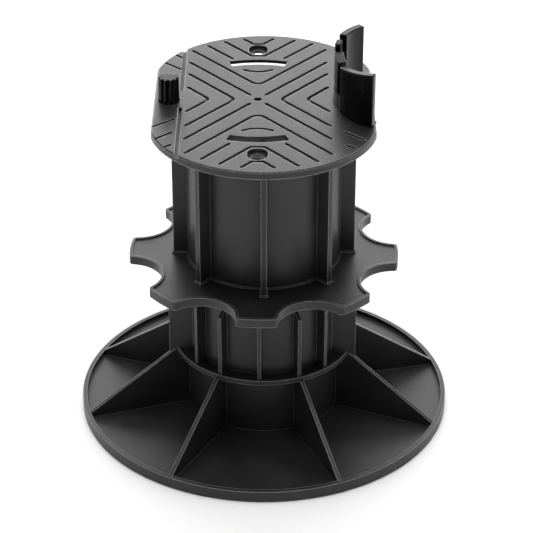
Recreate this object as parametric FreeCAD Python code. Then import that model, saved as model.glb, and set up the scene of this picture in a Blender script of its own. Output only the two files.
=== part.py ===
import FreeCAD, Part
import math
import os

from FreeCAD import Vector

# Decking pedestal: a round flanged foot, a lobed threaded wheel that lifts a
# finned stem, and an oblong head plate with a side clip and a toothed knob.
# Millimetres, +Z up. The origin is the centre of the foot's underside.

UP = Vector(0, 0, 1)
PATTERN_TURN = -3.0     # the foot and the wheel stand turned a little against the head

# Foot: disc, rim and tower
FOOT_RADIUS = 100.0
RIM_HEIGHT = 6.0
RIM_WIDTH = 2.4
PLATE_EDGE = 3.4        # plate thickness beside the rim
PLATE_ROOT = 4.6        # plate thickness beside the tower
BORE_RADIUS = 38.6      # bore that takes the wheel's threaded hub
TOWER_WALL = 3.9
LEDGE_HEIGHT = 40.0
LEDGE_THICK = 2.6
LEDGE_REACH = 6.0       # how far the ledge stands out of the tower
COLLAR_WALL = 2.4
COLLAR_TOP = 79.0

# Foot: fins, collar ribs and side guards
FIN_ANGLES = (26.5, 71.0, 109.0, 153.5)
FIN_THICK = 2.2
FIN_TOE = 2.0           # gap between a fin's toe and the outside of the rim
RIB_ANGLES = (0.0, 26.5, 47.0, 133.0, 153.5, 180.0)
RIB_THICK = 1.8
RIB_REACH = 6.0
RIB_DROP = 5.0          # how far a rib's outer corner lies under the collar's top
GUARD_REACH = 50.0
GUARD_WIDTH = 34.0
GUARD_WALL = 2.4
GUARD_DROP = 1.0

# Wheel: lobed plate and hub
WHEEL_UNDER = 87.0
WHEEL_THICK = 4.0
WHEEL_RADIUS = 71.5
LOBES = 8
LOBE_HALF_ANGLE = 8.5
NOTCH_DEPTH = 14.0
LOBE_ROUND = 2.2
LIP_WIDTH = 1.5
LIP_HEIGHT = 0.8
HUB_GAP = 1.6           # room left for the thread between hub and bore
HUB_WALL = 2.6
HUB_LENGTH = 52.0

# Stem: tube, fins and spigot
STEM_GAP = 0.3          # running gap between stem and wheel, and head and stem
STEM_RADIUS = 40.3
STEM_WALL = 2.6
STEM_FINS = 8
STEM_FIN_THICK = 3.0
STEM_FIN_RADIUS = 48.0
SPIGOT_LENGTH = 30.0
SPIGOT_WALL = 2.4

# Head: oblong plate
HEAD_TOP = 180.3
HEAD_THICK = 4.0
HEAD_END_RADIUS = 57.5
HEAD_FLANK = 1.5        # how far the straight flanks cut into the round ends
HEAD_HALF_WIDTH = HEAD_END_RADIUS - HEAD_FLANK
HEAD_END_Y = 24.5
HEAD_BEVEL = 0.7
HEAD_RING_DEPTH = 10.0
HEAD_RING_WALL = 2.4
SEAT_DEPTH = 0.5        # sunk seats that keep the clip and the knob off the bearing face
SEAT_GAP = 0.4

# Head: pattern of grooves, holes and slots, centred a little left of the stem
PATTERN_X = -3.0
PATTERN_HALF = HEAD_HALF_WIDTH - 20.0
GROOVE_WIDTH = 1.3
GROOVE_DEPTH = 0.8
GROOVE_STEP = 16.7
GROOVE_SLOPE = 1.27
GROOVE_BEND = 4.0
SMALL_ARC_RADIUS = 12.5
SMALL_ARC_HALF = 36.0
EDGE_MARGIN = 4.5
SCREW_INSET = 19.5
SCREW_Y = HEAD_END_Y + HEAD_END_RADIUS - SCREW_INSET
SCREW_RADIUS = 3.2
SCREW_SLOT = 2.6        # extra length of the screw holes along Y
SINK_RADIUS = 5.1
SINK_DEPTH = 2.4
CENTRE_HOLE_RADIUS = 2.2
SLOT_RADIUS = 46.5
SLOT_WIDTH = 6.4
SLOT_HALF_ANGLE = 18.5
WING_WIDTH = 13.7
WING_GROOVE_X = WING_WIDTH - HEAD_HALF_WIDTH
WING_GROOVE_WIDTH = 1.9
WING_GROOVE_DEPTH = 1.6
WING_GROOVE_GAP = 10.6

# Knob
KNOB_INSET = 7.6        # how far the knob's centre lies inside the head's flank
KNOB_X = KNOB_INSET - HEAD_HALF_WIDTH
KNOB_Y = -1.6
KNOB_RADIUS = 5.4
KNOB_ROOT = 4.5
KNOB_TEETH = 10
KNOB_HEIGHT = 13.4
KNOB_SHAFT = 3.0
KNOB_PLAY = 0.05
KNOB_FLOAT = 0.2

# Side clip
CLIP_OFFSET = 12.0      # how far the clip's centre lies outside the head's flank
CLIP_CENTRE_X = HEAD_HALF_WIDTH + CLIP_OFFSET
CLIP_RADIUS = 32.3
CLIP_WALL = 2.8
CLIP_ARC = (122.0, 246.0)
CLIP_SILL = 7.5
CLIP_FRONT = (206.0, 246.0, 27.8)
CLIP_TONGUE = (181.0, 199.0, 24.6)
CLIP_TONGUE_WALL = 4.6
CLIP_HOOK = (163.0, 173.0, 29.6)
CLIP_REAR = (122.0, 156.0, 30.6)
CLIP_PEG_ANGLES = (140.0, 228.0)
CLIP_PEG_RADIUS = 1.2


def polar(radius, degrees, z=0.0):
    """A point seen from above, its angle counted from -Y towards +X."""
    turn = math.radians(degrees)
    return Vector(radius * math.sin(turn), -radius * math.cos(turn), z)


def spun(radius, degrees, z=0.0, centre=Vector(0, 0, 0)):
    """A point on a circle, its angle counted from +X towards +Y."""
    turn = math.radians(degrees)
    return centre + Vector(radius * math.cos(turn), radius * math.sin(turn), z)


def tube(outer, inner, low, high):
    """A straight tube about Z."""
    base = Vector(0, 0, low)
    return Part.makeCylinder(outer, high - low, base).cut(Part.makeCylinder(inner, high - low, base))


def block(x0, x1, y0, y1, z0, z1):
    """A box from its two corners."""
    return Part.makeBox(x1 - x0, y1 - y0, z1 - z0, Vector(x0, y0, z0))


def revolved(points):
    """A ring about Z from a closed outline of (radius, height) points."""
    outline = Part.makePolygon([Vector(r, 0, z) for r, z in points + points[:1]])
    return Part.Face(outline).revolve(Vector(0, 0, 0), UP, 360)


def radial_plate(points, thick, degrees):
    """An upright plate standing out from the axis at an angle from -Y."""
    outline = Part.makePolygon([Vector(0, -r, z) for r, z in points + points[:1]])
    plate = Part.Face(outline).extrude(Vector(thick, 0, 0))
    plate.translate(Vector(-thick / 2, 0, 0))
    plate.rotate(Vector(0, 0, 0), UP, degrees)
    return plate


def mirrored(angles):
    """Each angle on both sides, with 0 and 180 once."""
    both = set()
    for angle in angles:
        both.add(angle % 360)
        both.add(-angle % 360)
    return sorted(both)


def arc_wall(centre, outer, inner, start, end, low, high):
    """A curved wall: a sector of a tube between two angles from +X."""
    middle = (start + end) / 2
    edges = [
        Part.Arc(spun(outer, start, low, centre), spun(outer, middle, low, centre),
                 spun(outer, end, low, centre)).toShape(),
        Part.makeLine(spun(outer, end, low, centre), spun(inner, end, low, centre)),
        Part.Arc(spun(inner, end, low, centre), spun(inner, middle, low, centre),
                 spun(inner, start, low, centre)).toShape(),
        Part.makeLine(spun(inner, start, low, centre), spun(outer, start, low, centre)),
    ]
    return Part.Face(Part.Wire(edges)).extrude(Vector(0, 0, high - low))


def make_foot():
    """The foot: disc with rim, tower, ledge, collar, fins, ribs and side guards."""
    tower = BORE_RADIUS + TOWER_WALL
    collar = BORE_RADIUS + COLLAR_WALL
    ledge = tower + LEDGE_REACH
    ledge_low = LEDGE_HEIGHT - LEDGE_THICK
    rim = FOOT_RADIUS - RIM_WIDTH
    body = revolved([
        (BORE_RADIUS, 0), (FOOT_RADIUS, 0), (FOOT_RADIUS, RIM_HEIGHT), (rim, RIM_HEIGHT),
        (rim, PLATE_EDGE), (tower, PLATE_ROOT), (tower, ledge_low), (ledge, ledge_low),
        (ledge, LEDGE_HEIGHT), (collar, LEDGE_HEIGHT), (collar, COLLAR_TOP), (BORE_RADIUS, COLLAR_TOP),
    ])
    middle = (BORE_RADIUS + tower) / 2
    toe = FOOT_RADIUS - FIN_TOE
    fin = [
        (middle, PLATE_EDGE / 2), (toe, PLATE_EDGE / 2), (toe, RIM_HEIGHT),
        (ledge + LEDGE_REACH / 3, ledge_low + LEDGE_THICK / 2), (middle, ledge_low + LEDGE_THICK / 2),
    ]
    pieces = [radial_plate(fin, FIN_THICK, angle) for angle in mirrored(FIN_ANGLES)]
    core = (BORE_RADIUS + collar) / 2
    rib_out = collar + RIB_REACH
    rib = [
        (core, ledge_low + LEDGE_THICK / 2), (rib_out, ledge_low + LEDGE_THICK / 2),
        (rib_out, COLLAR_TOP - RIB_DROP), (collar, COLLAR_TOP - RIB_DROP / 5), (core, COLLAR_TOP - RIB_DROP / 5),
    ]
    pieces += [radial_plate(rib, RIB_THICK, angle) for angle in mirrored(RIB_ANGLES)]
    for side in (1, -1):
        pieces.append(make_guard(side, core, ledge_low))
    body = body.fuse(pieces).removeSplitter()
    body.rotate(Vector(0, 0, 0), UP, PATTERN_TURN)
    return body


def make_guard(side, core, floor_low):
    """A three-walled guard on a floor, beside the collar."""
    half = GUARD_WIDTH / 2
    top = COLLAR_TOP - GUARD_DROP
    shell = block(0, GUARD_REACH, -half, half, floor_low, top)
    hollow = block(0, GUARD_REACH - GUARD_WALL, -half + GUARD_WALL, half - GUARD_WALL, LEDGE_HEIGHT, top)
    guard = shell.cut(hollow).cut(Part.makeCylinder(core, top, Vector(0, 0, 0)))
    if side < 0:
        guard.rotate(Vector(0, 0, 0), UP, 180)
    return guard


def lobed_plate(inset, low, high):
    """A disc with scooped notches, its whole outline set in by inset."""
    step = 360.0 / LOBES
    half = math.radians(step / 2 - LOBE_HALF_ANGLE)
    chord = WHEEL_RADIUS * math.sin(half)
    depth = WHEEL_RADIUS * math.cos(half) - WHEEL_RADIUS + NOTCH_DEPTH
    scoop = (chord ** 2 + depth ** 2) / (2 * depth)
    reach = WHEEL_RADIUS - NOTCH_DEPTH + scoop
    notches = [Part.makeCylinder(scoop + inset, high - low, polar(reach, (index + 0.5) * step, low))
               for index in range(LOBES)]
    plate = Part.makeCylinder(WHEEL_RADIUS - inset, high - low, Vector(0, 0, low)).cut(notches)
    corners = [edge for edge in plate.Edges if is_lobe_corner(edge)]
    return plate.makeFillet(LOBE_ROUND - inset / 2, corners)


def is_lobe_corner(edge):
    """True for the upright edges where a lobe end meets a notch."""
    ends = [vertex.Point for vertex in edge.Vertexes]
    return len(ends) == 2 and abs(ends[0].x - ends[1].x) < 1e-6 and abs(ends[0].y - ends[1].y) < 1e-6


def make_wheel():
    """The lobed wheel with its lip and the hub that screws into the foot."""
    top = WHEEL_UNDER + WHEEL_THICK
    low = WHEEL_UNDER - HUB_LENGTH
    hub = BORE_RADIUS - HUB_GAP
    plate = lobed_plate(0, WHEEL_UNDER, top + LIP_HEIGHT).cut(lobed_plate(LIP_WIDTH, top, top + 2 * LIP_HEIGHT))
    wheel = plate.fuse(Part.makeCylinder(hub, HUB_LENGTH + WHEEL_THICK, Vector(0, 0, low)))
    wheel = wheel.cut(Part.makeCylinder(hub - HUB_WALL, HUB_LENGTH + 2 * WHEEL_THICK, Vector(0, 0, low - 1)))
    wheel = wheel.removeSplitter()
    wheel.rotate(Vector(0, 0, 0), UP, PATTERN_TURN)
    return wheel


def make_stem():
    """The finned tube between wheel and head, with the spigot that turns in the wheel."""
    low = WHEEL_UNDER + WHEEL_THICK + STEM_GAP
    high = HEAD_TOP - HEAD_THICK - STEM_GAP
    spigot = BORE_RADIUS - HUB_GAP - HUB_WALL - STEM_GAP
    shell = tube(STEM_RADIUS, STEM_RADIUS - STEM_WALL, low, high)
    fin = [
        (STEM_RADIUS - STEM_WALL / 2, low), (STEM_FIN_RADIUS, low),
        (STEM_FIN_RADIUS, high), (STEM_RADIUS - STEM_WALL / 2, high),
    ]
    pieces = [radial_plate(fin, STEM_FIN_THICK, index * 360.0 / STEM_FINS) for index in range(STEM_FINS)]
    pieces.append(tube(STEM_RADIUS - STEM_WALL / 2, spigot - SPIGOT_WALL, low, low + STEM_WALL))
    pieces.append(tube(spigot, spigot - SPIGOT_WALL, low - SPIGOT_LENGTH, low + STEM_WALL))
    return shell.fuse(pieces).removeSplitter()


def head_outline(inset, z):
    """The head's outline: two round ends cut off by straight flanks."""
    radius = HEAD_END_RADIUS - inset
    half = HEAD_HALF_WIDTH - inset
    reach = HEAD_END_Y + math.sqrt(radius ** 2 - half ** 2)
    far = HEAD_END_Y + radius
    return Part.Wire([
        Part.makeLine(Vector(half, -reach, z), Vector(half, reach, z)),
        Part.Arc(Vector(half, reach, z), Vector(0, far, z), Vector(-half, reach, z)).toShape(),
        Part.makeLine(Vector(-half, reach, z), Vector(-half, -reach, z)),
        Part.Arc(Vector(-half, -reach, z), Vector(0, -far, z), Vector(half, -reach, z)).toShape(),
    ])


def end_reach(x, inset):
    """How far along Y the head's outline, set in by inset, reaches at x."""
    radius = HEAD_END_RADIUS - inset
    return HEAD_END_Y + math.sqrt(max(radius ** 2 - x ** 2, 0.0))


def run_cutter(start, end, width, depth):
    """A round-ended cutter along a straight run on the head's top."""
    along = (end - start).normalize()
    side = Vector(-along.y, along.x, 0) * (width / 2)
    tip = along * (width / 2)
    edges = [
        Part.makeLine(start + side, end + side),
        Part.Arc(end + side, end + tip, end - side).toShape(),
        Part.makeLine(end - side, start - side),
        Part.Arc(start - side, start - tip, start + side).toShape(),
    ]
    cutter = Part.Face(Part.Wire(edges)).extrude(Vector(0, 0, depth + 1))
    cutter.translate(Vector(0, 0, HEAD_TOP - depth))
    return cutter


def bend_cutter(centre, radius, start, end):
    """A cutter along a round bend, from a start to an end angle counted from +X."""
    half = GROOVE_WIDTH / 2
    return arc_wall(centre, radius + half, radius - half, start, end, HEAD_TOP - GROOVE_DEPTH, HEAD_TOP + 1)


def bearing(point, centre):
    """The angle of a point about a centre, from +X."""
    return math.degrees(math.atan2(point.y - centre.y, point.x - centre.x))


def bent(start, corner, end):
    """Cutters for two straight runs joined by a round bend at the corner."""
    first = (start - corner).normalize()
    second = (end - corner).normalize()
    half = first.getAngle(second) / 2
    back = GROOVE_BEND / math.tan(half)
    centre = corner + (first + second).normalize() * (GROOVE_BEND / math.sin(half))
    enter = corner + first * back
    leave = corner + second * back
    low = bearing(enter, centre)
    turn = (bearing(leave, centre) - low + 180) % 360 - 180
    return [
        run_cutter(start, enter, GROOVE_WIDTH, GROOVE_DEPTH),
        bend_cutter(centre, GROOVE_BEND, min(low, low + turn), max(low, low + turn)),
        run_cutter(leave, end, GROOVE_WIDTH, GROOVE_DEPTH),
    ]


def arm_end(level, side):
    """Where an arm that starts at a level on Y stops: at the field's side or near the rim."""
    x = PATTERN_HALF
    while x > 1 and level + GROOVE_SLOPE * x > end_reach(PATTERN_X + side * x, EDGE_MARGIN):
        x -= 0.5
    return x


def on_field(x, y):
    """A point of the head's pattern, from its own centre."""
    return Vector(PATTERN_X + x, y, 0)


def on_arm(x, level, way):
    """A point of the diagonal that leaves a level on Y, on the x side given by x's sign."""
    return on_field(x, way * (level + GROOVE_SLOPE * abs(x)))


def head_pattern():
    """Cutters for the nested diagonal grooves and the small arcs."""
    cutters = []
    sink = SINK_RADIUS + SCREW_SLOT / 2
    slot_outside = SLOT_RADIUS + SLOT_WIDTH / 2
    for way in (1, -1):
        for side in (1, -1):
            for level, start in ((0, 4.2), (2 * GROOVE_STEP, (slot_outside + 1.5 - 2 * GROOVE_STEP) / GROOVE_SLOPE)):
                first = on_arm(side * start, level, way)
                last = on_arm(side * arm_end(level, side), level, way)
                cutters.append(run_cutter(first, last, GROOVE_WIDTH, GROOVE_DEPTH))
        level = GROOVE_STEP
        cutters += bent(on_arm(-arm_end(level, -1), level, way), on_field(0, way * level),
                        on_arm(arm_end(level, 1), level, way))
        cutters += passing(way, 3 * GROOVE_STEP, SCREW_Y - sink - 1.6)
        cutters += passing(way, 4 * GROOVE_STEP, SCREW_Y + sink + 1.4)
        cutters.append(small_arc(way))
    for side in (1, -1):
        for count in (1, 2):
            tip = count * GROOVE_STEP / GROOVE_SLOPE - 1.5
            high = (PATTERN_HALF - tip) * GROOVE_SLOPE
            cutters += bent(on_field(side * PATTERN_HALF, high), on_field(side * tip, 0),
                            on_field(side * PATTERN_HALF, -high))
    return cutters


def passing(way, level, flat_y):
    """Cutters for two arms that meet in a short flat run beside a screw hole."""
    flat = max((flat_y - level) / GROOVE_SLOPE, 0.5)
    points = [on_arm(-arm_end(level, -1), level, way), on_arm(-flat, level, way),
              on_arm(flat, level, way), on_arm(arm_end(level, 1), level, way)]
    return [run_cutter(points[i], points[i + 1], GROOVE_WIDTH, GROOVE_DEPTH) for i in range(3)]


def small_arc(way):
    """The short curved groove between the head's centre and a slot."""
    centre = on_field(0, way * SLOT_RADIUS)
    return bend_cutter(centre, SMALL_ARC_RADIUS, -90 * way - SMALL_ARC_HALF, -90 * way + SMALL_ARC_HALF)


def oblong(x, y, radius, stretch, low, high):
    """A round-ended hole cutter, longer along Y by stretch."""
    half = stretch / 2
    pieces = [
        Part.makeCylinder(radius, high - low, Vector(x, y + half, low)),
        block(x - radius, x + radius, y - half, y + half, low, high),
    ]
    return Part.makeCylinder(radius, high - low, Vector(x, y - half, low)).fuse(pieces).removeSplitter()


def make_head():
    """The oblong head plate with its grooves, slots, holes and the ring that seats in the stem."""
    low = HEAD_TOP - HEAD_THICK
    plate = Part.Face(head_outline(0, low)).extrude(Vector(0, 0, HEAD_THICK - HEAD_BEVEL))
    crown = Part.makeLoft([head_outline(0, HEAD_TOP - HEAD_BEVEL), head_outline(HEAD_BEVEL, HEAD_TOP)], True, True)
    ring_out = STEM_RADIUS - STEM_WALL - STEM_GAP
    ring = tube(ring_out, ring_out - HEAD_RING_WALL, low - HEAD_RING_DEPTH, low + HEAD_THICK / 2)
    plate = plate.fuse([crown, ring]).removeSplitter()
    cutters = head_pattern()
    for way in (1, -1):
        y = way * SCREW_Y
        cutters.append(oblong(PATTERN_X, y, SCREW_RADIUS, SCREW_SLOT, low - 1, HEAD_TOP + 1))
        cutters.append(oblong(PATTERN_X, y, SINK_RADIUS, SCREW_SLOT, HEAD_TOP - SINK_DEPTH, HEAD_TOP + 1))
        cutters.append(arc_wall(Vector(PATTERN_X, 0, 0), SLOT_RADIUS + SLOT_WIDTH / 2, SLOT_RADIUS - SLOT_WIDTH / 2,
                                90 * way - SLOT_HALF_ANGLE, 90 * way + SLOT_HALF_ANGLE, low - 1, HEAD_TOP + 1))
        start = Vector(WING_GROOVE_X, way * WING_GROOVE_GAP, 0)
        end = Vector(WING_GROOVE_X, way * (end_reach(WING_GROOVE_X, 0) + WING_GROOVE_WIDTH), 0)
        cutters.append(run_cutter(start, end, WING_GROOVE_WIDTH, WING_GROOVE_DEPTH))
    cutters.append(Part.makeCylinder(CENTRE_HOLE_RADIUS, HEAD_THICK + 2, Vector(PATTERN_X, 0, low - 1)))
    cutters.append(Part.makeCylinder(KNOB_SHAFT + KNOB_PLAY, HEAD_THICK + 2, Vector(KNOB_X, KNOB_Y, low - 1)))
    for peg in peg_places():
        cutters.append(Part.makeCylinder(CLIP_PEG_RADIUS, HEAD_THICK + 2, peg + Vector(0, 0, low - 1)))
    cutters += seat_cutters()
    return plate.cut(cutters).removeSplitter()


def seat_cutters():
    """Cutters for the sunk seats of the knob and the clip."""
    low = HEAD_TOP - SEAT_DEPTH
    high = HEAD_TOP + 1
    centre = Vector(CLIP_CENTRE_X, 0, 0)
    outer = CLIP_RADIUS + SEAT_GAP
    margin = math.degrees(SEAT_GAP / CLIP_RADIUS)
    cutters = [Part.makeCylinder(KNOB_RADIUS + SEAT_GAP, high - low, Vector(KNOB_X, KNOB_Y, low))]
    for start, end, wall in (CLIP_ARC + (CLIP_WALL,), CLIP_TONGUE[:2] + (CLIP_TONGUE_WALL,)):
        inner = CLIP_RADIUS - wall - SEAT_GAP
        cutters.append(arc_wall(centre, outer, inner, start - margin, end + margin, low, high))
    return cutters


def make_knob():
    """The toothed knob, turning in a hole of the head's left wing."""
    low = HEAD_TOP - SEAT_DEPTH + KNOB_FLOAT
    tooth = 360.0 / KNOB_TEETH
    points = []
    for index in range(KNOB_TEETH):
        start = index * tooth
        for radius, share in ((KNOB_ROOT, 0.0), (KNOB_ROOT, 0.35), (KNOB_RADIUS, 0.5), (KNOB_RADIUS, 0.85)):
            points.append(spun(radius, start + share * tooth, low))
    grip = Part.Face(Part.makePolygon(points + points[:1])).extrude(Vector(0, 0, HEAD_TOP + KNOB_HEIGHT - low))
    shaft = Part.makeCylinder(KNOB_SHAFT, HEAD_THICK, Vector(0, 0, low - HEAD_THICK))
    knob = grip.fuse(shaft).removeSplitter()
    knob.translate(Vector(KNOB_X, KNOB_Y, 0))
    return knob


def peg_places():
    """Centres of the clip's pegs, seen from above."""
    centre = Vector(CLIP_CENTRE_X, 0, 0)
    return [spun(CLIP_RADIUS - CLIP_WALL / 2, angle, 0, centre) for angle in CLIP_PEG_ANGLES]


def make_clip():
    """The side clip: a curved wall cut into a front wing, a tongue, a hook and a rear wing."""
    centre = Vector(CLIP_CENTRE_X, 0, 0)
    inner = CLIP_RADIUS - CLIP_WALL
    low = HEAD_TOP - SEAT_DEPTH
    clip = arc_wall(centre, CLIP_RADIUS, inner, CLIP_ARC[0], CLIP_ARC[1], low, HEAD_TOP + CLIP_SILL)
    pieces = []
    for start, end, height in (CLIP_FRONT, CLIP_REAR, CLIP_HOOK):
        pieces.append(arc_wall(centre, CLIP_RADIUS, inner, start, end, low, HEAD_TOP + height))
    start, end, height = CLIP_TONGUE
    pieces.append(arc_wall(centre, CLIP_RADIUS, CLIP_RADIUS - CLIP_TONGUE_WALL, start, end,
                           low, HEAD_TOP + height))
    for peg in peg_places():
        pieces.append(Part.makeCylinder(CLIP_PEG_RADIUS, HEAD_THICK, peg + Vector(0, 0, HEAD_TOP - HEAD_THICK)))
    return clip.fuse(pieces).removeSplitter()


PARTS = {
    "foot": make_foot,
    "lift_wheel": make_wheel,
    "stem": make_stem,
    "head_plate": make_head,
    "adjuster_knob": make_knob,
    "side_clip": make_clip,
}

os.makedirs("parts", exist_ok=True)
for name, make in PARTS.items():
    solid = make()
    solid.exportStep(os.path.join("parts", name + ".step"))
    box = solid.BoundBox
    print(name, len(solid.Solids), solid.isValid(), round(solid.Volume), round(box.ZMin, 2), round(box.ZMax, 2))
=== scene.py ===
import math

import bmesh
import bpy
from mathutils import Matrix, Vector


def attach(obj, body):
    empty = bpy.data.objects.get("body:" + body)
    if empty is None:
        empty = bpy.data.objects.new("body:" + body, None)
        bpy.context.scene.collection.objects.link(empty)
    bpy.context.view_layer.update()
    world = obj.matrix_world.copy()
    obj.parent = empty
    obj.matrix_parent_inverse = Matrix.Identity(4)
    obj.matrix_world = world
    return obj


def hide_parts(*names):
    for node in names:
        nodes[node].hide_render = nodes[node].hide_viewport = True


# Looks of the decking pedestal. The foot, the wheel and the stem keep their CAD shapes
# and get better plastics. The head plate, the clip and the knob are replaced by dressed
# pieces, and the lifting thread and the stem's root are added. Sizes and places of the
# object are in millimetres. Those of the floor, the lights and the camera are in metres.

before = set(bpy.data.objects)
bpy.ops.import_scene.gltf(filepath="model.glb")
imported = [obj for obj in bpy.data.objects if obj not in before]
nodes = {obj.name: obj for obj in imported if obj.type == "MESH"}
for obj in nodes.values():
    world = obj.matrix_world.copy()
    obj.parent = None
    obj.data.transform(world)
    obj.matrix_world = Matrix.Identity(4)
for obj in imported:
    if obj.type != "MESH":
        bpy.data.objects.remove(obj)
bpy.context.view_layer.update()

MM = 0.001

# Lifting thread between the wheel's hub and the foot's bore
PITCH = 6.0
HUB = 37.0
BORE = 38.6
THREAD_CLEAR = 0.3
THREAD_SUNK = 0.3       # how far a ridge's root stands in its own wall
RIDGE_ROOT = 2.5
RIDGE_CREST = 1.4
RIDGE_SECTIONS = 90     # in one turn
RIDGE_FADE = 12         # sections over which a ridge runs out at its ends
RIDGE_TIP = 0.15        # share of its height that is left there
WHEEL_THREAD = (38.0, 86.4)
FOOT_THREAD = (46.0, 77.6)

# Head: outline, and the short grooves on its wings
HEAD_TOP = 180.3
HEAD_END_Y = 24.5
HEAD_END_RADIUS = 57.5
EDGE_MARGIN = 4.5
CUT_OVER = 1.0          # how far a cutter stands over the head
TICK_WIDTH = 1.8
TICK_DEPTH = 1.1
LEFT_TICKS = [
    ((-55.0, -32.0), (-44.9, -23.4)),
    ((-53.4, -45.8), (-45.4, -38.3)),
    ((-48.1, -54.6), (-45.6, -52.3)),
    ((-46.8, 55.4), (-43.8, 52.3)),
    ((-52.0, 45.2), (-44.0, 37.2)),
]
RIGHT_TICKS = [((40.3, -38.4), (49.4, -47.0)), ((40.6, -53.0), (44.6, -56.2))]

# Head: the pattern of nested grooves
PATTERN_X = -3.0
PATTERN_HALF = 36.0
STEP = 16.7
SLOPE = 1.27
LEAN = math.hypot(1.0, SLOPE)
GROOVE_WIDTH = 2.2
GROOVE_DEPTH = 1.2
BEND_RADIUS = 4.0
BEND_BACK = (5.08, 3.15)    # from a bend's corner back to the straights, on Y and on X
CENTRE_START = 4.2
SIDE_SHIFT = 1.5            # how far the bends on X lie inward of the diagonals' crossing
SLOT_MIDDLE = 46.5
SLOT_OUT = 49.7
SLOT_GAP = 1.5
SINK_Y = 62.5
SINK_CLEAR = 6.4
FLAT_GAPS = (1.6, 1.4)      # the flats before and behind a screw's sink
FLAT_LEAST = 0.5
ARC_RADIUS = 12.5
ARC_HALF = 36.0

# Head: the thin plate round the rear slot
RELIEF_RADII = (40.8, 56.0)
RELIEF_HALF = 25.0
RELIEF_LOW = 170.0
RELIEF_TOP = 178.4
RELIEF_SECTIONS = 12

# Knob, its levels given as height, radius at the teeth and radius in the flutes
KNOB_AT = (-48.4, -1.6)
KNOB_LOW = 180.0
KNOB_TOP = 193.6
KNOB_FLUTES = 10
FLUTE_SECTIONS = 12
FLUTE_POWER = 1.3
KNOB_LEVELS = [
    (KNOB_LOW - 3.9, 2.8, 2.8),
    (KNOB_LOW - 3.7, 3.0, 3.0),
    (KNOB_LOW, 3.0, 3.0),
    (KNOB_LOW, 5.2, 4.9),
    (KNOB_LOW + 0.5, 5.4, 4.6),
    (KNOB_LOW + 1.6, 5.35, 3.9),
    (KNOB_TOP - 1.2, 5.2, 3.5),
    (KNOB_TOP - 0.25, 5.15, 3.45),
    (KNOB_TOP, 4.95, 3.3),
]

# Clip, its angles counted from +X about the centre of its wall
CLIP_AT = (68.0, 0.0)
CLIP_RADIUS = 32.3
CLIP_FLARE = 4.2
CLIP_FLARE_FROM = 188.0
CLIP_END = 247.0
CLIP_ROUND = 0.55
SECTION_ANGLE = 2.5
SEAT = 179.8
# Start, end, thickness, top at the start, top at the end, and how far it stands out
CLIP_WALLS = [
    (124.0, 245.0, 2.6, 187.8, 187.8, -0.25),   # sill
    (125.5, 156.5, 4.2, 210.8, 210.8, 0.0),     # rear wing
    (163.0, 173.5, 3.2, 209.6, 209.2, 0.0),     # hook
    (177.0, 198.0, 4.8, 206.3, 204.8, 0.0),     # tongue
    (205.5, 247.0, 4.0, 204.6, 208.4, 0.0),     # front wing
]
# Start, end, thickness, underside, top, and how far it stands out
BASE_FLANGE = (121.4, 246.6, 3.6, SEAT + 0.02, 180.7, 0.4)
ROOT_FLANGE = (180.4, 199.6, 5.4, SEAT + 0.03, 180.66, 0.38)

# Stem's root
STEM_LOW = 91.3
STEM_RADIUS = 40.3
FIN_OUT = 48.0
FINS = 8
ROOT_SECTIONS = 160
ROOT_OUTLINE = [
    (STEM_RADIUS - 0.4, STEM_LOW),
    (STEM_RADIUS + 0.9, STEM_LOW),
    (STEM_RADIUS + 0.8, STEM_LOW + 0.35),
    (STEM_RADIUS + 0.1, STEM_LOW + 1.1),
    (STEM_RADIUS - 0.4, STEM_LOW + 1.2),
]
PAD_INSET = 3.4
PAD_HALF_LONG = 4.3
PAD_HALF_WIDE = 2.3
PAD_HEIGHT = 1.0
PAD_SLOPE = 0.7

# Plastics: scales of the cloudy gloss and of the patches in the painted edge highlight, and reach
# and colour of the painted shade in crevices
CLOUD_SCALE = 45.0
HIGHLIGHT_PATCH_SCALE = 420.0
CREVICE_REACH = 2.2
CREVICE_SHADE_COLOUR = (0.0008, 0.0008, 0.0008, 1)
SHADER_SAMPLES = 6

# Floor, in metres
FLOOR_HALF = 6.0
FLOOR_DROP = 0.0004
GLOW_FROM = 0.7
GLOW_TO = 2.0
GLOW = 0.8

# Lights, in metres: name, place, target, width, height and brightness
LIGHTS = [
    ("back_panel", (0.0, 2.3, 1.65), (0, 0, 0.1), 2.8, 1.5, 2.05),
    ("horizon_panel", (0.0, 2.7, 0.5), (0, 0, 0.1), 4.2, 0.9, 3.2),
    ("top_panel", (0.0, 0.2, 2.4), (0, 0, 0.0), 2.2, 2.2, 4.2),
    ("left_panel", (-2.2, 0.2, 1.3), (0, 0, 0.1), 1.2, 1.2, 0.7),
    ("right_panel", (2.2, 0.2, 1.1), (0, 0, 0.1), 1.2, 1.2, 1.1),
]
WORLD_STRENGTH = 0.34

# Camera, fitted to the photograph, its place in metres
SENSOR_WIDTH = 36.0
LENS = 135.08
CLIP_DISTANCE = 30.0
CAMERA_AT = (0.001375, -0.92895, 0.6149)
LOOKS_DOWN = 0.52107


def ramp(new, links, source, low, high, to_low, to_high):
    """A clamped linear map of a number."""
    node = new.new("ShaderNodeMapRange")
    node.inputs["From Min"].default_value = low
    node.inputs["From Max"].default_value = high
    node.inputs["To Min"].default_value = to_low
    node.inputs["To Max"].default_value = to_high
    links.new(source, node.inputs["Value"])
    return node.outputs["Result"]


def noise_of(new, links, place, scale, detail, rough):
    """A noise texture over the object's own coordinates."""
    node = new.new("ShaderNodeTexNoise")
    node.inputs["Scale"].default_value = scale
    node.inputs["Detail"].default_value = detail
    node.inputs["Roughness"].default_value = rough
    links.new(place, node.inputs["Vector"])
    return node.outputs["Fac"]


def joined(new, links, operation, first, second):
    """Two numbers put together by a Math node."""
    node = new.new("ShaderNodeMath")
    node.operation = operation
    links.new(first, node.inputs[0])
    links.new(second, node.inputs[1])
    return node.outputs["Value"]


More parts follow.
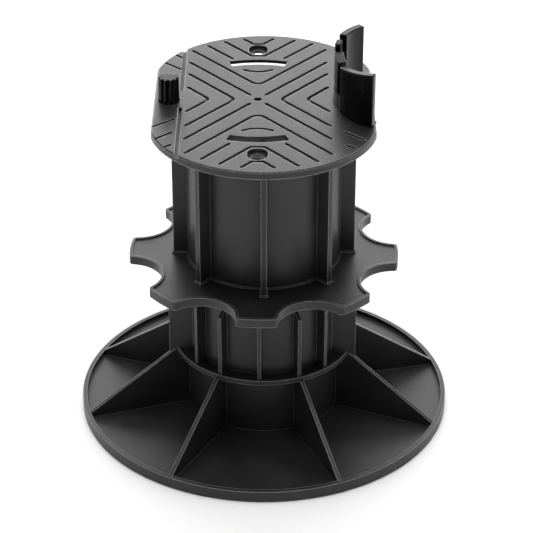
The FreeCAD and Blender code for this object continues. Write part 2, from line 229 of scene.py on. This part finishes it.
def mixed(new, links, factor, first, second):
    """A colour between two, each of them a fixed colour or a node's output."""
    node = new.new("ShaderNodeMix")
    node.data_type = "RGBA"
    for socket, colour in (("A", first), ("B", second)):
        if isinstance(colour, tuple):
            node.inputs[socket].default_value = colour
        else:
            links.new(colour, node.inputs[socket])
    links.new(factor, node.inputs["Factor"])
    return node.outputs["Result"]


def plastic(name, dark, light, edge_highlight, gloss, rough, grain, grain_depth, round_mm):
    """A moulded plastic: fine grain, cloudy gloss, rounded edges with a painted highlight in
    patches, and painted shade in crevices.
    """
    mat = bpy.data.materials.new(name)
    mat.use_nodes = True
    new = mat.node_tree.nodes
    links = mat.node_tree.links
    shader = new["Principled BSDF"]
    place = new.new("ShaderNodeTexCoord").outputs["Object"]

    fine = noise_of(new, links, place, grain, 3.0, 0.6)
    cloud = noise_of(new, links, place, CLOUD_SCALE, 4.0, 0.55)
    highlight_patch_noise = noise_of(new, links, place, HIGHLIGHT_PATCH_SCALE, 5.0, 0.7)

    # Painted highlight: edges, where the rounded normal leaves the true one, get a light colour in
    # patches, kept off the painted shade of crevices
    rounded = new.new("ShaderNodeBevel")
    rounded.samples = SHADER_SAMPLES
    rounded.inputs["Radius"].default_value = round_mm * MM
    surface = new.new("ShaderNodeNewGeometry")
    bend = new.new("ShaderNodeVectorMath")
    bend.operation = "DOT_PRODUCT"
    links.new(rounded.outputs["Normal"], bend.inputs[0])
    links.new(surface.outputs["Normal"], bend.inputs[1])
    rim = ramp(new, links, bend.outputs["Value"], 0.99, 0.88, 0.0, 1.0)
    patchy = ramp(new, links, highlight_patch_noise, 0.35, 0.62, 0.5, 1.0)
    crevices = new.new("ShaderNodeAmbientOcclusion")
    crevices.samples = SHADER_SAMPLES
    crevices.inputs["Distance"].default_value = CREVICE_REACH * MM
    clear = ramp(new, links, crevices.outputs["AO"], 0.25, 0.85, 0.0, 1.0)
    edge_highlight_mask = joined(new, links, "MULTIPLY", rim, joined(new, links, "MULTIPLY", patchy, clear))

    cloudy = ramp(new, links, cloud, 0.3, 0.7, 0.0, 1.0)
    body = mixed(new, links, cloudy, (dark, dark, dark * 1.02, 1), (light, light, light * 1.03, 1))
    # Painted highlight: a light colour mixed in along the edges
    edge_highlighted = mixed(new, links, edge_highlight_mask, body, (edge_highlight, edge_highlight, edge_highlight, 1))
    # Painted shade: the colour goes to near-black in crevices, where the ambient occlusion is low
    shaded = mixed(new, links, clear, CREVICE_SHADE_COLOUR, edge_highlighted)
    links.new(shaded, shader.inputs["Base Color"])

    dull = ramp(new, links, cloud, 0.3, 0.7, rough - 0.04, rough + 0.05)
    speck = ramp(new, links, fine, 0.3, 0.7, -0.05, 0.05)
    deep = ramp(new, links, crevices.outputs["AO"], 0.2, 0.7, 0.35, 0.0)
    roughness = joined(new, links, "ADD", joined(new, links, "ADD", dull, speck), deep)
    links.new(roughness, shader.inputs["Roughness"])
    shader.inputs["Specular IOR Level"].default_value = gloss

    bump = new.new("ShaderNodeBump")
    bump.inputs["Strength"].default_value = 0.6
    bump.inputs["Distance"].default_value = grain_depth * MM
    links.new(fine, bump.inputs["Height"])
    links.new(rounded.outputs["Normal"], bump.inputs["Normal"])
    links.new(bump.outputs["Normal"], shader.inputs["Normal"])
    return mat


def backdrop_paint():
    """A plain pale floor, very faintly uneven, that stays pale far from the lights."""
    mat = bpy.data.materials.new("pale_floor")
    mat.use_nodes = True
    new = mat.node_tree.nodes
    links = mat.node_tree.links
    shader = new["Principled BSDF"]
    place = new.new("ShaderNodeTexCoord").outputs["Object"]
    cloud = noise_of(new, links, place, 3.0, 2.0, 0.5)
    tone = mixed(new, links, cloud, (0.87, 0.87, 0.87, 1), (0.90, 0.90, 0.90, 1))
    links.new(tone, shader.inputs["Base Color"])
    shader.inputs["Roughness"].default_value = 0.9
    shader.inputs["Specular IOR Level"].default_value = 0.1
    away = new.new("ShaderNodeVectorMath")
    away.operation = "LENGTH"
    links.new(place, away.inputs[0])
    glow = ramp(new, links, away.outputs["Value"], GLOW_FROM, GLOW_TO, 0.0, GLOW)
    links.new(glow, shader.inputs["Emission Strength"])
    shader.inputs["Emission Color"].default_value = (1, 1, 1, 1)
    return mat


def to_object(name, bm):
    """Turns a bmesh in millimetres into a linked object in metres."""
    for vert in bm.verts:
        vert.co *= MM
    bmesh.ops.recalc_face_normals(bm, faces=bm.faces)
    mesh = bpy.data.meshes.new(name)
    bm.to_mesh(mesh)
    bm.free()
    made = bpy.data.objects.new(name, mesh)
    bpy.context.scene.collection.objects.link(made)
    return made


def smooth(mesh, sharp_degrees):
    """Smooth shading that keeps the edges sharper than an angle."""
    for face in mesh.polygons:
        face.use_smooth = True
    mesh.set_sharp_from_angle(angle=math.radians(sharp_degrees))


def mesh_piece(name, bm, body, mat, sharp_degrees=35.0):
    """Turns a bmesh in millimetres into a named piece that rides on a body."""
    piece = to_object(name, bm)
    piece.data.materials.append(mat)
    smooth(piece.data, sharp_degrees)
    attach(piece, body)
    return piece


def skin(bm, rings, stacked=False):
    """Faces from each ring of vertices to the next: sections in a row, or loops stacked up."""
    for first, second in zip(rings, rings[1:]):
        for here in range(len(first)):
            after = (here + 1) % len(first)
            if stacked:
                bm.faces.new((first[here], first[after], second[after], second[here]))
            else:
                bm.faces.new((first[here], second[here], second[after], first[after]))


def close(bm, rings):
    """The faces on the first and the last ring."""
    bm.faces.new(rings[0])
    bm.faces.new(rings[-1])


def on_circle(centre, radius, angle, z):
    """A point in space at an angle in radians round a centre."""
    return (centre[0] + radius * math.cos(angle), centre[1] + radius * math.sin(angle), z)


def helix(bm, root, crest, low, high, lead):
    """A thread ridge swept up a right-hand helix, fading out at both ends."""
    count = int((high - low) / PITCH * RIDGE_SECTIONS)
    rings = []
    for index in range(count + 1):
        turn = 2 * math.pi * index / RIDGE_SECTIONS
        z = low + PITCH * index / RIDGE_SECTIONS
        angle = turn + lead
        fade = min(index, count - index, RIDGE_FADE) / RIDGE_FADE
        top = root + (crest - root) * (RIDGE_TIP + (1 - RIDGE_TIP) * fade)
        section = (
            (root, -RIDGE_ROOT / 2), (top, -RIDGE_CREST / 2),
            (top, RIDGE_CREST / 2), (root, RIDGE_ROOT / 2),
        )
        ring = []
        for radius, rise in section:
            spot = (radius * math.cos(angle), radius * math.sin(angle), z + rise)
            ring.append(bm.verts.new(spot))
        rings.append(ring)
    skin(bm, rings)
    close(bm, rings)


def phase_of(low):
    """The start angle that puts a ridge's centre line on the common helix z = PITCH * turn."""
    return 2 * math.pi * low / PITCH


def stadium(bm, start, end, width, low, high):
    """A straight bar with round ends."""
    a = Vector(start)
    b = Vector(end)
    heading = math.atan2(b.y - a.y, b.x - a.x)
    loops = []
    for z in (low, high):
        loop = []
        for centre, begin in ((b, heading - math.pi / 2), (a, heading + math.pi / 2)):
            for step in range(7):
                angle = begin + math.pi * step / 6
                loop.append(bm.verts.new(on_circle(centre, width / 2, angle, z)))
        loops.append(loop)
    skin(bm, loops, stacked=True)
    bm.faces.new(loops[-1])
    bm.faces.new(loops[0])


def wall_radius(angle):
    """The clip's outer radius: round at the back, flaring out along the front wing."""
    share = (angle - CLIP_FLARE_FROM) / (CLIP_END - CLIP_FLARE_FROM)
    share = min(max(share, 0.0), 1.0)
    return CLIP_RADIUS + CLIP_FLARE * share * share * (3 - 2 * share)


def clip_wall(bm, start, end, thick, low, top_start, top_end, grow=0.0, flared=True):
    """One upright part of the clip, its top sloping from one end to the other."""
    count = max(3, int(abs(end - start) / SECTION_ANGLE))
    rings = []
    for index in range(count + 1):
        share = index / count
        angle = start + (end - start) * share
        turn = math.radians(angle)
        outer = (wall_radius(angle) if flared else CLIP_RADIUS) + grow
        inner = outer - thick
        top = top_start + (top_end - top_start) * share
        ring = []
        for radius, z in ((outer, low), (outer, top), (inner, top), (inner, low)):
            ring.append(bm.verts.new(on_circle(CLIP_AT, radius, turn, z)))
        rings.append(ring)
    skin(bm, rings)
    close(bm, rings)


def clip_flange(name, flange, mat):
    """A low flange of the clip, lying in its seat in the head."""
    start, end, thick, low, top, grow = flange
    bm = bmesh.new()
    clip_wall(bm, start, end, thick, low, top, top, grow=grow, flared=False)
    mesh_piece(name, bm, "head", mat)


def flute(turn, tip, root):
    """The knob's radius: pointed teeth with round flutes between them."""
    share = (turn * KNOB_FLUTES / (2 * math.pi)) % 1.0
    return root + (tip - root) * abs(math.cos(math.pi * share)) ** FLUTE_POWER


def knob_mesh(bm):
    """A fluted grip on a flared foot, with a chamfered top and a shaft below."""
    count = KNOB_FLUTES * FLUTE_SECTIONS
    rings = []
    for z, tip, root in KNOB_LEVELS:
        ring = []
        for index in range(count):
            turn = 2 * math.pi * index / count
            ring.append(bm.verts.new(on_circle(KNOB_AT, flute(turn, tip, root), turn, z)))
        rings.append(ring)
    skin(bm, rings, stacked=True)
    close(bm, rings)


def lathe(bm, outline, count):
    """A closed outline of (radius, height) points turned about Z."""
    rings = []
    for index in range(count):
        turn = 2 * math.pi * index / count
        ring = [bm.verts.new((r * math.cos(turn), r * math.sin(turn), z)) for r, z in outline]
        rings.append(ring)
    skin(bm, rings + rings[:1])


def wedge(bm, centre, along, across, half_long, half_wide, low, high, inset):
    """A small pad with sloping sides, longer one way."""
    rings = []
    for z, less in ((low, 0.0), (high, inset)):
        ring = []
        for a, b in ((-1, -1), (1, -1), (1, 1), (-1, 1)):
            spot = centre + along * (a * (half_long - less)) + across * (b * (half_wide - less))
            ring.append(bm.verts.new((spot.x, spot.y, z)))
        rings.append(ring)
    skin(bm, rings, stacked=True)
    close(bm, rings)


def arm(x, level, way):
    """A point of the head's pattern on the diagonal that leaves a level on Y."""
    return (PATTERN_X + x, way * (level + SLOPE * abs(x)))


def arm_end(level, side):
    """Where a diagonal stops, at the field's side or near the rim."""
    x = PATTERN_HALF
    while x > 1:
        across = PATTERN_X + side * x
        rim = math.sqrt(max((HEAD_END_RADIUS - EDGE_MARGIN) ** 2 - across ** 2, 0.0))
        if level + SLOPE * x <= HEAD_END_Y + rim:
            break
        x -= 0.5
    return x


def arc_runs(centre, radius, start, end, count=6):
    """An arc as short straight runs, its angles in degrees from +X."""
    points = []
    for step in range(count + 1):
        turn = math.radians(start + (end - start) * step / count)
        points.append(on_circle(centre, radius, turn, 0.0)[:2])
    return list(zip(points, points[1:]))


def bend_runs(first, corner, last):
    """The round bend that joins two straight grooves, as short straight runs."""
    a, v, b = Vector(first), Vector(corner), Vector(last)
    inward = (a + b) / 2 - v
    half = math.acos(inward.length / (a - v).length)
    centre = v + inward.normalized() * (BEND_RADIUS / math.sin(half))
    start = math.degrees(math.atan2(a.y - centre.y, a.x - centre.x))
    sweep = math.degrees(math.atan2(b.y - centre.y, b.x - centre.x)) - start
    sweep = (sweep + 180.0) % 360.0 - 180.0
    return arc_runs(centre, BEND_RADIUS, start, start + sweep)


def groove_runs():
    """The head's nested diagonals with their bends and small arcs, as pairs of points."""
    runs = []
    flat_in = SINK_Y - SINK_CLEAR - FLAT_GAPS[0]
    flat_out = SINK_Y + SINK_CLEAR + FLAT_GAPS[1]
    for way in (1, -1):
        near = BEND_BACK[0] / LEAN
        runs += bend_runs(arm(-near, STEP, way), arm(0.0, STEP, way), arm(near, STEP, way))
        middle = (PATTERN_X, way * SLOT_MIDDLE)
        runs += arc_runs(middle, ARC_RADIUS, -90 * way - ARC_HALF, -90 * way + ARC_HALF, 10)
        for side in (1, -1):
            starts = [
                (0.0, CENTRE_START),
                (STEP, BEND_BACK[0] / LEAN),
                (2 * STEP, (SLOT_OUT + SLOT_GAP - 2 * STEP) / SLOPE),
            ]
            for level, flat_y in ((3 * STEP, flat_in), (4 * STEP, flat_out)):
                flat = max((flat_y - level) / SLOPE, FLAT_LEAST)
                starts.append((level, flat))
                if side > 0:
                    runs.append((arm(-flat, level, way), arm(flat, level, way)))
            for level, start in starts:
                stop = arm_end(level, side)
                runs.append((arm(side * start, level, way), arm(side * stop, level, way)))
    for side in (1, -1):
        for count in (1, 2):
            tip = count * STEP / SLOPE - SIDE_SHIFT
            near = tip + BEND_BACK[1] / LEAN
            ends = [(PATTERN_X + side * near, way * (near - tip) * SLOPE) for way in (1, -1)]
            runs += bend_runs(ends[0], (PATTERN_X + side * tip, 0.0), ends[1])
            for way in (1, -1):
                first = (PATTERN_X + side * near, way * (near - tip) * SLOPE)
                last = (PATTERN_X + side * PATTERN_HALF, way * (PATTERN_HALF - tip) * SLOPE)
                runs.append((first, last))
    return runs


def head_cutter():
    """A curved block that thins the plate round the rear slot, and bars for all grooves."""
    bm = bmesh.new()
    inner, outer = RELIEF_RADII
    corners = (
        (inner, RELIEF_LOW), (outer, RELIEF_LOW), (outer, RELIEF_TOP), (inner, RELIEF_TOP),
    )
    rings = []
    for index in range(RELIEF_SECTIONS + 1):
        angle = math.radians(90 - RELIEF_HALF + 2 * RELIEF_HALF * index / RELIEF_SECTIONS)
        ring = [bm.verts.new(on_circle((PATTERN_X, 0.0), r, angle, z)) for r, z in corners]
        rings.append(ring)
    skin(bm, rings)
    close(bm, rings)
    high = HEAD_TOP + CUT_OVER
    for start, end in LEFT_TICKS + RIGHT_TICKS:
        stadium(bm, start, end, TICK_WIDTH, HEAD_TOP - TICK_DEPTH, high)
    for start, end in groove_runs():
        stadium(bm, start, end, GROOVE_WIDTH, HEAD_TOP - GROOVE_DEPTH, high)
    return to_object("relief", bm)


def dressed_head(mat):
    """A copy of the head plate, grooved wider and thin round the slot that shows through."""
    mesh = nodes["head_plate"].data.copy()
    mesh.name = "head_dressed"
    head = bpy.data.objects.new("head_dressed", mesh)
    bpy.context.scene.collection.objects.link(head)
    # Stored normals would spoil the shading after the cut
    stored = mesh.attributes.get("custom_normal")
    if stored:
        mesh.attributes.remove(stored)
    weld = bmesh.new()
    weld.from_mesh(mesh)
    bmesh.ops.remove_doubles(weld, verts=weld.verts, dist=0.000001)
    weld.to_mesh(mesh)
    weld.free()
    cutter = head_cutter()
    cut = head.modifiers.new("relief", "BOOLEAN")
    cut.operation = "DIFFERENCE"
    cut.solver = "EXACT"
    cut.use_self = True
    cut.object = cutter
    bpy.context.view_layer.update()
    cut_head = head.evaluated_get(bpy.context.evaluated_depsgraph_get())
    done = bpy.data.meshes.new_from_object(cut_head)
    head.modifiers.clear()
    head.data = done
    bpy.data.objects.remove(cutter)
    done.materials.clear()
    done.materials.append(mat)
    for face in done.polygons:
        face.material_index = 0
    smooth(done, 28.0)
    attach(head, "head")
    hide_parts("head_plate")


def round_edges(piece, width):
    """Real rounded edges on a mesh piece."""
    bevel = piece.modifiers.new("round", "BEVEL")
    bevel.width = width * MM
    bevel.segments = 3
    bevel.limit_method = "ANGLE"
    bevel.angle_limit = math.radians(40)
    bevel.harden_normals = False


def panel(name, place, target, width, height, radiance):
    """A soft rectangular light of a given brightness, aimed at a point."""
    light = bpy.data.lights.new(name, "AREA")
    light.shape = "RECTANGLE"
    light.size = width
    light.size_y = height
    light.energy = radiance * math.pi * width * height
    lamp = bpy.data.objects.new(name, light)
    lamp.location = place
    aim = Vector(target) - Vector(place)
    lamp.rotation_euler = aim.to_track_quat("-Z", "Y").to_euler()
    bpy.context.scene.collection.objects.link(lamp)


# The edge tone given to each plastic is the colour of its painted highlight along edges
black = plastic(
    "black_plastic_grained", dark=0.0090, light=0.0190, edge_highlight=0.42, gloss=0.42, rough=0.40,
    grain=1500.0, grain_depth=0.10, round_mm=0.6)
grey = plastic(
    "grey_black_plastic_grained", dark=0.008, light=0.012, edge_highlight=0.38, gloss=0.44, rough=0.36,
    grain=2000.0, grain_depth=0.05, round_mm=0.8)
shiny = plastic(
    "black_plastic_polished", dark=0.0006, light=0.0014, edge_highlight=0.22, gloss=0.20, rough=0.24,
    grain=1500.0, grain_depth=0.006, round_mm=0.5)

PAINT = {
    "foot": black,
    "lift_wheel": black,
    "stem": black,
    "head_plate": grey,
    "side_clip": black,
    "adjuster_knob": shiny,
}
for name, mat in PAINT.items():
    node = nodes[name]
    if not node.material_slots:
        node.data.materials.append(mat)
    for slot in node.material_slots:
        slot.material = mat

# Lifting thread: the foot's ridge runs half a pitch from the wheel's
bm = bmesh.new()
helix(bm, HUB - THREAD_SUNK, BORE - THREAD_CLEAR, *WHEEL_THREAD, phase_of(WHEEL_THREAD[0]))
mesh_piece("wheel_thread", bm, "wheel", black)

bm = bmesh.new()
helix(bm, BORE + THREAD_SUNK, HUB + THREAD_CLEAR, *FOOT_THREAD,
      phase_of(FOOT_THREAD[0]) + math.pi)
mesh_piece("foot_thread", bm, "foot", black)

# Clip
bm = bmesh.new()
for start, end, thick, top_start, top_end, grow in CLIP_WALLS:
    clip_wall(bm, start, end, thick, SEAT, top_start, top_end, grow=grow)
clip_dressed = mesh_piece("clip_dressed", bm, "head", shiny)
round_edges(clip_dressed, CLIP_ROUND)
clip_flange("clip_base", BASE_FLANGE, shiny)
clip_flange("clip_root", ROOT_FLANGE, shiny)
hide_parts("side_clip")

# Knob
bm = bmesh.new()
knob_mesh(bm)
knob_grip = mesh_piece("knob_grip", bm, "knob", shiny, 50.0)
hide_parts("adjuster_knob")

# Head
dressed_head(grey)

# The stem's root: a small flared foot round the tube and a pad under each fin's nose
bm = bmesh.new()
lathe(bm, ROOT_OUTLINE, ROOT_SECTIONS)
for index in range(FINS):
    turn = math.radians(360.0 * index / FINS)
    along = Vector((math.sin(turn), -math.cos(turn), 0))
    across = Vector((math.cos(turn), math.sin(turn), 0))
    wedge(bm, along * (FIN_OUT - PAD_INSET), along, across, PAD_HALF_LONG, PAD_HALF_WIDE,
          STEM_LOW, STEM_LOW + PAD_HEIGHT, PAD_SLOPE)
mesh_piece("stem_foot", bm, "stem", black)

# Floor
bm = bmesh.new()
bmesh.ops.create_grid(bm, x_segments=8, y_segments=8, size=FLOOR_HALF)
floor_mesh = bpy.data.meshes.new("floor")
bm.to_mesh(floor_mesh)
bm.free()
floor = bpy.data.objects.new("floor", floor_mesh)
floor.location.z = -FLOOR_DROP
bpy.context.scene.collection.objects.link(floor)
floor_mesh.materials.append(backdrop_paint())

# Light
for light in LIGHTS:
    panel(*light)
world = bpy.data.worlds.new("studio")
bpy.context.scene.world = world
world.use_nodes = True
sky = world.node_tree.nodes["Background"]
sky.inputs["Color"].default_value = (1.0, 1.0, 1.0, 1)
sky.inputs["Strength"].default_value = WORLD_STRENGTH

# Camera
camera_data = bpy.data.cameras.new("camera")
camera_data.sensor_width = SENSOR_WIDTH
camera_data.lens = LENS
camera_data.clip_end = CLIP_DISTANCE
camera = bpy.data.objects.new("camera", camera_data)
camera.location = CAMERA_AT
camera.rotation_euler = (math.pi / 2 - LOOKS_DOWN, 0, 0)
bpy.context.scene.collection.objects.link(camera)
bpy.context.scene.camera = camera
bpy.context.scene.view_settings.view_transform = "Standard"
